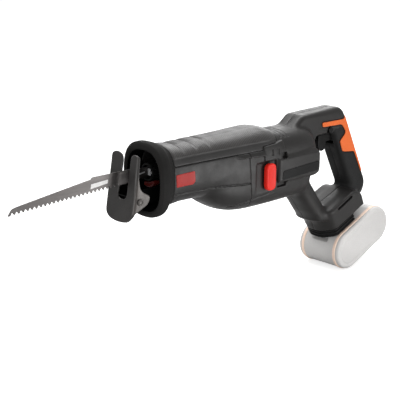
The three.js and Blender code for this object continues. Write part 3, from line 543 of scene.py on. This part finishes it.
def lines(d, X, Y, Z, rear):
    """Parting lines, vents and slots cut into the outer form."""
    if not rear:
        low, = through([(-74, -25.7), (-30, -26.7), (6.7, -28.4), (55.4, -32)], X)
        d = line_cut(d, np.abs(Z - low) - 0.7, 1.1)
    under, = through([(24, -58.6), (42, -57.5), (60, -54.4), (82, -51.9), (99, -50.5)], X)
    gap = np.maximum(np.abs(Z - under) - 0.7, np.maximum(24 - X, X - 99))
    d = line_cut(d, gap, 1.0)
    if rear:
        for x, z, wide, high in SLOTS_CUT:
            opening = np.maximum(np.abs(X - x) - wide, np.abs(Z - z) - high)
            d = line_cut(d, opening, 1.2 if wide < 1 else 4.5)
        for x in (112, 119.5, 127):  # ribs round the top, in front of the handle
            gap = np.maximum(np.abs(X - x - 0.004 * Y * Y) - 0.8, 16 - Z)
            d = line_cut(d, gap, 0.9)
        d = line_cut(d, region(FOOT_SLOT, *pack_axes(X, Z)), 4.2)
        rim = np.maximum(np.abs(region(INLAY, X, Z)) - 0.8, 14 - np.abs(Y))
        d = line_cut(d, np.maximum(rim, -handle(X, Y, Z) - 3), 1.0)
    return d


def seam(X, Z):
    return X - 52 - 0.112 * (-7.8 - Z)


def shell(rear, side):
    """One quarter of the housing: front or rear, left (-1) or right (1)."""
    def field(X, Y, Z):
        d = outside(X, Y, Z, rear)
        zone = region(COVER, X, Z) - 0.3
        bed = smax(zone, -(barrel(X, Y, Z) + 3.5), 1)
        d = smax(lines(d, X, Y, Z, rear), -bed, 1)
        if rear and side < 0:
            recess = block(X, Y, Z, (63, 98.5), (-60, -33.9), (-48.5, -8), 2.5)
            d = smax(d, -recess, 1)
        hollow = d + WALL
        if rear:
            well = block(X, Y, Z, (205, 247), (-8.7, 8.7), (-24, 9.5))
            bore = np.hypot(X - LOCK_X, Z - LOCK_Z) - 4.8
            hollow = np.minimum(hollow, np.minimum(well, bore))
        body = smax(d, -hollow, 0.8)
        if side > 0:
            for x, z, seat in SCREWS:
                if rear != (x > 52):
                    continue
                axis = np.hypot(X - x, Z - z)
                body = np.minimum(body, np.maximum(axis - 5.6, np.maximum(d, -Y)))
                body = smax(body, -np.maximum(axis - 3.8, seat - Y), 0.8)
        lap = -0.5 + 0.72 * np.clip((d + 1.2) / 0.6, 0, 1)  # the joint is open only near the surface
        ends = -seam(X, Z) + lap if rear else np.maximum(seam(X, Z) + lap, -69.9 - X)
        body = smax(body, ends, 0.4)
        return smax(body, -0.2 - side * Y, 0.3)
    return field


for end in ("front", "rear"):
    for side, name in ((-1, "left"), (1, "right")):
        node = f"{end}_shell_{name}"
        low, high = drawn_box(node, margin=4)
        if end == "front":
            high[0] = 62
        else:
            low[0] = 44
        piece = grown(node, shell(end == "rear", side), low, high, 0.95 if end == "rear" else 0.85, keep=0.5)
        if end == "rear":
            paint(piece, "grip", lambda X, Y, Z: (region(GRIP, X, Z) < 0) & (handle(X, Y, Z) < 1.0))


def cover(X, Y, Z):
    skin = barrel(X, Y, Z)
    y = np.abs(Y)
    for x in (-51, -30.5, -9.5):  # each groove starts sharply and runs out to the rear
        behind = X - x - 0.003 * y * y
        runs_out = np.exp(-(np.maximum(behind, 0) / 3.4) ** 1.5)
        valley = np.where(behind > 0, runs_out, np.exp(-(behind / 0.9) ** 2))
        short = np.clip((29 - y) / 17, 0, 1)
        skin = skin + 2.6 * valley * short * short * (3 - 2 * short)
    swell = 0.9 * np.clip((Z - 16) / 2.5, 0, 1) * np.clip((X + 69) / 3, 0, 1)
    body = smax(skin - swell, -(barrel(X, Y, Z) + 3.2), 0.6)
    return smax(body, region(COVER, X, Z), 0.9)


low, high = drawn_box("grip_cover")
piece = grown("grip_cover", cover, low, high, 0.7, keep=0.7)
paint(piece, "soft_edge", lambda X, Y, Z: (Z < 17.2) | (np.abs(Y) < 8))

RIM_OUT = [
    (-92, 35.2, 34.9, -51.5), (-90, 36.7, 36.4, -53.0), (-84, 37.0, 36.8, -53.3), (-79.5, 36.2, 36.0, -52.2),
    (-75.5, 33.9, 33.0, -46.2), (-73, 33.1, 31.9, -43.9), (-70.3, 32.8, 31.4, -43.2),
]
RIM_IN = [
    (-93, 30.6, 27.9, -46.4), (-89, 29.4, 26.7, -45.2), (-80, 27.8, 25.6, -41.0), (-69, 27.6, 25.4, -38.4),
]
rim_out, rim_in = barrel_like(RIM_OUT, 2.7), barrel_like(RIM_IN, 2.7)


def collar(X, Y, Z):
    ring = smax(rim_out(X, Y, Z), -rim_in(X, Y, Z), 1.5)
    ring = smax(ring, -92.2 - X, 2.6)
    return smax(ring, X + 70.2, 0.5)


low, high = drawn_box("nose_collar")
piece = grown("nose_collar", collar, low, high, 0.85, look="nose")
# painted shade: the collar's inside, behind its front lip, is painted near black
paint(piece, "void", lambda X, Y, Z: (rim_in(X, Y, Z) < 0.7) & (X > -90.5))


def following(form, outline, proud, low_y, high_y):
    """A thin piece that lies on a form, inside an outline seen from the side."""
    def field(X, Y, Z):
        d = form(X, Y, Z)
        skin = smax(d - proud, -(d + 0.5), 0.3)
        return smax(smax(skin, region(outline, X, Z), 0.6), np.maximum(low_y - Y, Y - high_y), 0.3)
    return field


badge = rounded([[-68, -1, 1.5], [-38, -0.7, 1.5], [-37, -13.5, 2], [-40.5, -16.9, 2], [-67, -16.2, 1.5]])
low, high = drawn_box("label_badge")
grown("label_badge", following(barrel, badge, 0.7, -40, -20), low, high, 0.55, look="red_label")
for name, span in (("left", (-22, -3)), ("right", (3, 22))):
    low, high = drawn_box(f"accent_{name}")
    grown(f"accent_{name}", following(handle, INLAY, 0.9, *span), low, high, 0.7)


band = rounded([[106, -36, 3], [176, -34, 3], [178, -21, 3], [108, -24, 3]])
low, high = drawn_box("name_plate", margin=4)
grown("name_plate", following(pod, band, 0.7, -42, -36), low, high, 0.6, look="dark")


# ---- what the hand works --------------------------------------------------------------------
def trigger(X, Y, Z):
    side = region(rounded([
        [213, 3, 3], [211.6, -6, 5], [214, -19, 4], [224, -22, 4], [229.6, -17, 3], [229.6, -9], [238, -9],
        [238, 3],
    ]), X, Z)
    d = plate(side, Y, 8, 2.2)
    ribs = np.abs(np.mod(Z + 15.5, 3.2) - 1.6) - 0.4
    front = np.maximum(np.maximum(np.abs(Y) - 5.5, np.abs(Z + 9.5) - 6), X - 216)
    return line_cut(d, np.maximum(ribs, front), 0.5)


low, high = drawn_box("trigger")
grown("trigger", trigger, low, high, 0.5)


def lock_off(X, Y, Z):
    d = rod(X - LOCK_X, Z - LOCK_Z, Y, 4.5, -19.6, 19.6, 1.6)
    dish = np.sqrt((X - LOCK_X) ** 2 + (Z - LOCK_Z) ** 2 + (np.abs(Y) - 35.2) ** 2)
    return smax(d, 16 - dish, 0.4)


low, high = drawn_box("lock_off_button")
grown("lock_off_button", lock_off, low, high, 0.5)


def slider(X, Y, Z):
    flat = region(rounded([[77, -45.6, 8], [94, -45.6, 8], [94, -10.6, 8], [77, -10.6, 8]]), X, Z)
    crown = Y + 41.4 + 0.012 * (X - 85.5) ** 2 + 0.0012 * (Z + 28.1) ** 2
    return smax(plate(flat, Y + 38.0, 3.6, 2.2), -crown, 1.5)


low, high = drawn_box("mode_slider")
grown("mode_slider", slider, low, high, 0.5)


# ---- shoe, blade and clamp ------------------------------------------------------------------
SHOE_FRONT = rounded([
    [-26, 5, 4], [-26, -15, 8], [-20, -24.6, 7], [0, -29.6, 16], [20, -24.6, 7], [26, -15, 8], [26, 52.6, 11],
    [3.4, 52.6, 11], [3.8, 25, 6], [6.2, -0.4, 6.6], [-10.4, -0.4, 7.6], [-10.4, 52.6, 6.6], [-23.8, 52.6, 6.6],
    [-23.8, 40, 4],
], 8)
SHOE_EAR = rounded([
    [-9, -18], [-4, -13.6, 3], [13, -2.5, 4], [15, 7.6, 5], [1.5, 11.5, 6], [-4.0, 22, 8], [-4.6, 44, 2],
    [-6, 60], [-9, 60],
])


SHOE_FACE, SHOE_HALF, SHOE_BEND, SHOE_THICK, PIN_HOLE = -8.4, 26, 4.0, 2.6, 2.8


def shoe(X, Y, Z):
    y = np.abs(Y) + 2.2 * np.clip((Z - 5) / 35, 0, 1) * (Y < 0)  # the left prong is a little narrower
    from_face, from_side = SHOE_FACE + SHOE_BEND - X, y - SHOE_HALF + SHOE_BEND
    corner = np.hypot(np.maximum(from_face, 0), np.maximum(from_side, 0)) - SHOE_BEND
    flat = np.maximum(SHOE_FACE - X, y - SHOE_HALF)
    surface = np.where((from_face > 0) & (from_side > 0), corner, flat)
    skin = smax(surface, -(surface + SHOE_THICK), 0.8)
    front = np.maximum(smax(skin, region(SHOE_FRONT, Y, Z), 1.2), X - SHOE_FACE - SHOE_BEND)
    ears = np.maximum(smax(skin, region(SHOE_EAR, X, Z), 1.0), 22.6 - y)
    ears = smax(ears, region(SHOE_FRONT, np.minimum(y, 24.2), Z), 1.5)
    hole = np.hypot(X, Z) - PIN_HOLE
    return smax(np.minimum(front, ears), -hole, 0.5)


piece = grown("shoe_plate", shoe, (-11, -29, -29), (18, 29, 56), 0.6, place=SHOE)
# painted light: the shoe's side ears take the lighter, lit copy of its steel
paint(piece, "ear_steel", lambda X, Y, Z: np.abs(Y) > 24.4)


def pin(X, Y, Z):
    u, v, y = X - PIN_X, Z - PIN_Z, np.abs(Y)
    shaft = rod(u, v, Y, 2.5, -26.4, 26.4)
    head = rod(u, v, y, 4.2, 26.2, 27.8, 1.0)
    spacer = rod(u, v, y, 4.2, 20.2, 23.0)
    dimple = rod(u, v, y, 2.2, 27.2, 30)
    return smax(np.minimum(np.minimum(shaft, head), spacer), -dimple, 0.4)


low, high = drawn_box("shoe_pin")
# painted light: the pin's heads take the lighter, lit copy of the shoe's steel
piece = grown("shoe_pin", pin, low, high, 0.5, look="ear_steel")
# painted shade: the pin's middle, between the shoe's ears, is painted near black
paint(piece, "void", lambda X, Y, Z: np.abs(Y) < 20)


def bracket(X, Y, Z):
    side = region(rounded([
        [-120.6, -18.7, 4], [-114, -14.6, 3], [-96, -13.4, 4], [-52.4, -13.4], [-52.4, -30.6, 2], [-96, -31, 4],
        [-121.6, -29.9, 4],
    ]), X, Z)
    y = np.abs(Y)
    arms = plate(side, y - 18.7, 1.3, 0.5)
    base = block(X, Y, Z, (-55, -52.2), (-20, 20), (-30.6, -16), 0.6)
    hole = np.hypot(X - PIN_X, Z - PIN_Z) - PIN_HOLE
    return smax(smin(arms, base, 2), -hole, 0.4)


low, high = drawn_box("shoe_bracket")
# painted shade: the bracket, inside the nose, is painted near black
grown("shoe_bracket", bracket, low, high, 0.6, look="void")


def sheet(name, node, corners, half, edge, look=None, middle=0.0):
    """A flat outline in X and Z, bevelled on both faces."""
    bm = bmesh.new()
    ring = [bm.verts.new((x, middle - half, z)) for x, z in corners]
    face = bm.faces.new(ring)
    grown_part = bmesh.ops.extrude_face_region(bm, geom=[face])
    for v in grown_part["geom"]:
        if isinstance(v, bmesh.types.BMVert):
            v.co.y = middle + half
    bmesh.ops.recalc_face_normals(bm, faces=bm.faces)
    rims = [e for e in bm.edges if abs(e.verts[0].co.y - e.verts[1].co.y) < 1e-4]
    bmesh.ops.bevel(bm, geom=rims, offset=edge, segments=2, profile=0.5, affect="EDGES")
    bmesh.ops.triangulate(bm, faces=[f for f in bm.faces if len(f.verts) > 4])
    mesh = bpy.data.meshes.new(name)
    bm.to_mesh(mesh)
    bm.free()
    mesh.transform(DRAWING)
    piece = bpy.data.objects.new(name, mesh)
    bpy.context.scene.collection.objects.link(piece)
    return dress(piece, node, look)


TIP, HEEL, PITCH, DEPTH = -272.5, -126.0, 5.6, 2.9


def tooth_line(x):
    return -15.6 + (x - TIP) / (HEEL - TIP) * 7.2


def blade_outline():
    back = [(-76.3, 6), (-103, 6), (-109, 7.6), (-163.0, 7.5), (-164.5, 7.0), (-166, 5.4), (-222, -1.9),
            (-262, -7.2), (-266, -7.8), (-269, -8.6), (-271, -10), (-275.2, -15.9)]
    corners = back[:]
    for i in range(int((HEEL - TIP) / PITCH)):
        x = TIP + i * PITCH
        z = tooth_line(x)
        corners += [(x, z - 0.4), (x + 0.8, z + 0.1), (x + 2.2, z + DEPTH * 0.9), (x + 2.9, z + DEPTH),
                    (x + 3.8, z + DEPTH * 0.7), (x + 5.0, z + DEPTH * 0.15)]
    return corners + [(HEEL, tooth_line(HEEL)), (-109, -8), (-103, -6.2), (-76.3, -6.2)]


blade = sheet("blade_fine", "blade", blade_outline(), 0.65, 0.12)
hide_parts("blade")
for side, name in ((-1, "left"), (1, "right")):
    mark = [(-167.5, -5.6), (-143.2, -3.0), (-142.6, 1.3), (-166.2, -0.2)]
    sheet(f"blade_mark_{name}", "blade", mark, 0.05, 0.02, look="print", middle=side * 0.68)


def bead(X, Y, Z):
    """The rolled stiffening bead on the blade's tang."""
    return rod(np.maximum(np.abs(Y) - 0.5, 0), Z - 0.3 - 0.12 * (X + 92), X, 0.9, -97.5, -88.5, 0.5)


# painted highlight: the tang bead is light grey for its glint
piece = shown("tang_bead", *net(bead, (-100, -2, -2), (-86, 2, 3), 0.3))
dress(piece, "blade", "clamp_face")


def clamp_body(X, Y, Z):
    core = smin(rod(Y, Z, X, 8.4, -81, -68, 1.4), rod(Y, Z, X, 9.8, -70.5, -68, 0.6), 0.5)
    face = block(X, Y, Z, (-84.6, -80), (-5.6, 5.6), (-3.6, 4.6), 0.7)
    slot = block(X, Y, Z, (-95, -76), (-1.0, 1.0), (-6.6, 6.4))
    return smax(np.minimum(core, face), -slot, 0.4)


low, high = drawn_box("clamp_body")
piece = grown("clamp_body", clamp_body, low, high, 0.45, look="dark")
# painted highlight: the clamp's front face is light grey for its bright reflection
paint(piece, "clamp_face", lambda X, Y, Z: (X < -83.8) & (np.abs(Y) < 6.0) & (np.abs(Y) > 0.9))


def clamp_sleeve(X, Y, Z):
    angle = np.arctan2(Z, Y)
    knurl = 0.55 * np.clip(np.cos(12 * angle) * 2.2, -1, 1) * ((X > -83) & (X < -73))
    sleeve = smax(np.hypot(Y, Z) - 10.9 - knurl, np.maximum(-85.0 - X, X + 71), 1.2)
    return smax(sleeve, 8.8 - np.hypot(Y, Z), 0.6)


low, high = drawn_box("clamp_collar")
grown("clamp_collar", clamp_sleeve, low, high, 0.45)


def clamp_lever(X, Y, Z):
    flat = region(rounded([
        [-12, -8, 1.5], [-4, -11.5, 3], [3, -10, 1.5], [4.5, -16, 2.5], [-6, -18, 4], [-15, -11.5, 2],
    ]), Y, Z)
    return smax(plate(flat, X + 81.5, 5.0, 1.6), 12.0 - np.hypot(Y, Z), 0.3)


low, high = drawn_box("clamp_lever", margin=4)
high[1] = 7
low[2] = min(low[2], -20)
grown("clamp_lever", clamp_lever, low, high, 0.4, look="lever_red")


def plunger(X, Y, Z):
    return rod(Y, Z, X, 6.0, -73.2, 14.2, 0.8)


low, high = drawn_box("plunger")
grown("plunger", plunger, low, high, 0.7)


def lens(X, Y, Z):
    u, v = Y - LENS_Y, Z - LENS_Z
    return smin(rod(u, v, X, 3, -53, -50, 0.5), rod(u, v, X, 4.2, -53.6, -52.2, 1.0), 0.4)


low, high = drawn_box("led_lens")
grown("led_lens", lens, low, high, 0.4)


def back_wall(X, Y, Z):
    section = oval(Y, Z + 7.4, 25.0, 29.2, 2.7)
    d = smax(section, np.abs(X + 50.9) - 0.9, 0.5)
    ring = np.maximum(np.abs(np.hypot(Y, Z) - 11) - 1.2, np.abs(X + 52.0) - 0.7)
    holes = np.minimum(np.hypot(Y, Z) - 7.4, np.hypot(Y - LENS_Y, Z - LENS_Z) - 3.3)
    return smax(smin(d, ring, 0.6), -holes, 0.4)


low, high = drawn_box("cavity_plate")
# painted shade: the back wall of the nose's cavity is painted near black
grown("cavity_plate", back_wall, low, high, 0.7, look="void")

for i, (x, z, seat) in enumerate(SCREWS, 1):
    def screw(X, Y, Z, x=x, z=z, seat=seat):
        head = rod(X - x, Z - z, Y, 3.4, seat + 0.3, seat + 2.7, 0.9)
        angle = np.arctan2(Z - z, X - x)
        star = np.hypot(X - x, Z - z) - 1.5 - 0.3 * np.cos(6 * angle)
        head = smax(head, -np.maximum(star, seat + 1.2 - Y), 0.2)
        return np.minimum(head, rod(X - x, Z - z, Y, 1.9, -11, seat + 0.5))
    low, high = drawn_box(f"shell_screw_{i}", margin=2)
    grown(f"shell_screw_{i}", screw, low, high, 0.4, keep=0.5)


# ---- battery and its rail -------------------------------------------------------------------
LONG, ROUND = 63.0, 27.3


def stadium(U, W, radius):
    return np.hypot(U - np.clip(U, 0, LONG), W) - radius


BAY = rounded([
    [-20, -12, 8], [-8, -24.4, 8], [71, -24.4, 8], [83, -12, 8], [83, 14, 2], [74, 17.4], [-14, 17.4, 4],
    [-20, 10, 4],
])


def battery_case(U, Y, W):
    d = plate(stadium(U, W, ROUND), Y, 27.9, 0.6)
    d = smax(d, -region(BAY, U, W), 0.5)
    narrow = block(U, Y, W, (-40, 34), (-8.5, 8.5), (23.2, 40))
    wide = block(U, Y, W, (-40, 34), (-13.5, 13.5), (20.4, 23.5))
    d = smax(d, -np.minimum(narrow, wide), 0.5)
    return smax(d, -block(U, Y, W, (80, 99), (-13.3, 13.3), (-0.3, 12.3)), 0.5)


grown("battery_case", battery_case, (-31, -31, -31), (94, 31, 31), 1.0, place=PACK, keep=0.6)
for side, name in ((-1, "left"), (1, "right")):
    def ring(U, Y, W, side=side):
        d = plate(stadium(U, W, ROUND + 0.8), side * Y - 28.2, 2.3, 0.6)
        return smax(d, -region(BAY, U, W), 0.4)

    def cap(U, Y, W, side=side):
        y = side * Y
        d = plate(stadium(U, W, ROUND - 0.1), y - 26.2, 10.0, 4.2)
        inset = stadium(U, W, ROUND - 7.5)
        d = line_cut(d, np.abs(inset) - 0.6, 0.6)
        d = smax(d, 29.9 - y, 0.4)
        return smax(d, -np.maximum(region(BAY, U, W), y - 33.4), 0.4)

    near, far = (25, 38.5) if side > 0 else (-38.5, -25)
    grown(f"battery_ring_{name}", ring, (-31, near, -31), (94, far, 31), 0.7, place=PACK, keep=0.6)
    grown(f"battery_cap_{name}", cap, (-30, near, -30), (93, far, 30), 0.9, place=PACK)


def release(U, Y, W):
    d = smax(block(U, Y, W, (82.6, 95), (-13, 13), (0, 12), 1.2), stadium(U, W, ROUND + 1.6), 1.0)
    grip = np.maximum(np.abs(np.mod(W, 2.4) - 1.2) - 0.35, np.maximum(np.abs(Y) - 10, np.abs(W - 6) - 4.5))
    return line_cut(d, grip, 0.5)


grown("battery_button", release, (80, -15, -2), (94, 15, 14), 0.45, place=PACK)


def rail(U, Y, W):
    y = np.abs(Y)
    plan = smax(smax(smax(-0.809 * (U + 21) + 0.588 * (y - 11), -21.5 - U, 4), y - 27.7, 4), U - 34.5, 3)
    step = 1.3 * np.clip(np.cos((W - 28.2) * 2 * np.pi / 4.3) * 2, -1, 1) + 0.4
    d = smax(plan + np.maximum(step, 0), np.maximum(27.6 - W, W - 41.2), 0.5)
    neck = block(U, Y, W, (-8, 30), (-8, 8), (22.6, 28))
    hooks = block(U, Y, W, (-8, 30), (-13, 13), (20.9, 23))
    d = np.minimum(d, np.minimum(neck, hooks))
    for y0 in (-6, 0, 6):
        d = np.maximum(d, -block(U, Y, W, (-11, 13), (y0 - 0.9, y0 + 0.9), (20, 32)))
    return d


grown("battery_rail", rail, (-31, -30, 19), (37, 30, 43), 0.6, place=PACK, keep=0.7)

# the carried-over CAD nodes, mostly inside
for node, thing in frame["nodes"].items():
    if not thing.hide_render:
        thing.data.materials.clear()
        thing.data.materials.append(LOOKS[SLOTS[node]])

# ---- floor, light and camera ----------------------------------------------------------------
scene = bpy.context.scene
scene.view_settings.view_transform = "Standard"
low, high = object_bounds()
floor_mesh = bpy.data.meshes.new("floor")
FLOOR_REACH, FLOOR_GAP = 12.0, 0.0005
FLOOR_GLOW = 0.70  # for the camera only, so that the floor reads as white
FLOOR_SEEN, FLOOR_BOUNCED = 0.60, 0.50
SKY_SEEN, SKY_BOUNCED = 1.0, 0.56
floor_mesh.from_pydata([(sx * FLOOR_REACH, sy * FLOOR_REACH, low.z - FLOOR_GAP)
                        for sx, sy in ((-1, -1), (1, -1), (1, 1), (-1, 1))], [], [(0, 1, 2, 3)])
floor = bpy.data.objects.new("floor", floor_mesh)
scene.collection.objects.link(floor)
pale = bpy.data.materials.new("pale_floor")
pale.use_nodes = True
ground = pale.node_tree.nodes["Principled BSDF"]
ground.inputs["Roughness"].default_value = 0.9
ground.inputs["Specular IOR Level"].default_value = 0.05
ground.inputs["Emission Color"].default_value = (1, 1, 1, 1)
floor_mesh.materials.append(pale)
floor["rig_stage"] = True


def seen(tree, socket, by_camera, by_light):
    """Sets a number to one value for the camera and another for bounced light."""
    path, choice = tree.nodes.new("ShaderNodeLightPath"), tree.nodes.new("ShaderNodeMapRange")
    choice.inputs["To Min"].default_value, choice.inputs["To Max"].default_value = by_light, by_camera
    tree.links.new(path.outputs["Is Camera Ray"], choice.inputs["Value"])
    tree.links.new(choice.outputs["Result"], socket)


seen(pale.node_tree, ground.inputs["Emission Strength"], FLOOR_GLOW, 0.0)
tint = pale.node_tree.nodes.new("ShaderNodeCombineColor")
for channel in tint.inputs[:3]:
    seen(pale.node_tree, channel, FLOOR_SEEN, FLOOR_BOUNCED)
pale.node_tree.links.new(tint.outputs[0], ground.inputs["Base Color"])

world = bpy.data.worlds.new("studio")
scene.world = world
world.use_nodes = True
backdrop = world.node_tree.nodes["Background"]
backdrop.inputs["Color"].default_value = (1, 1, 1, 1)
seen(world.node_tree, backdrop.inputs["Strength"], SKY_SEEN, SKY_BOUNCED)


def softbox(name, place, aim, size, power):
    light = bpy.data.lights.new(name, "AREA")
    light.shape, light.size, light.size_y, light.energy = "RECTANGLE", size[0], size[1], power
    lamp = bpy.data.objects.new(name, light)
    scene.collection.objects.link(lamp)
    lamp.location = place
    lamp.rotation_mode = "QUATERNION"
    lamp.rotation_quaternion = (Vector(aim) - Vector(place)).to_track_quat("-Z", "Y")
    lamp.visible_camera = False


middle = (low + high) / 2
softbox("overhead", middle + Vector((0.30, 0.40, 1.1)), middle, (1.3, 0.5), 20)
softbox("front_left", middle + Vector((-1.4, -0.5, 0.05)), middle, (0.9, 0.7), 10)
softbox("low_right", middle + Vector((0.72, -1.0, 0.02)), middle, (0.4, 0.3), 2.5)
belly_front = ORIGIN + Vector((0.016, -0.034, -0.025))
softbox("belly_glow", belly_front + Vector((0.22, -0.36, -0.10)), belly_front, (0.2, 0.12), 0.75)
softbox("back_right", middle + Vector((1.2, 0.9, 0.6)), middle, (0.8, 0.8), 6)

AZIMUTH, ELEVATION = math.radians(43), math.radians(15.6)
DISTANCE, AIM_DROP, LENS, SENSOR = 1.225, 0.050, 89.1, 36
towards = Vector((-math.sin(AZIMUTH) * math.cos(ELEVATION), -math.cos(AZIMUTH) * math.cos(ELEVATION),
                  math.sin(ELEVATION)))
camera = bpy.data.objects.new("camera", bpy.data.cameras.new("camera"))
scene.collection.objects.link(camera)
camera.data.lens, camera.data.sensor_width = LENS, SENSOR
camera.data.clip_start, camera.data.clip_end = 0.01, 50
camera.location = ORIGIN - Vector((0, 0, AIM_DROP)) + towards * DISTANCE
camera.rotation_mode = "QUATERNION"
camera.rotation_quaternion = (-towards).to_track_quat("-Z", "Y")
scene.camera = camera

low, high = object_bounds()
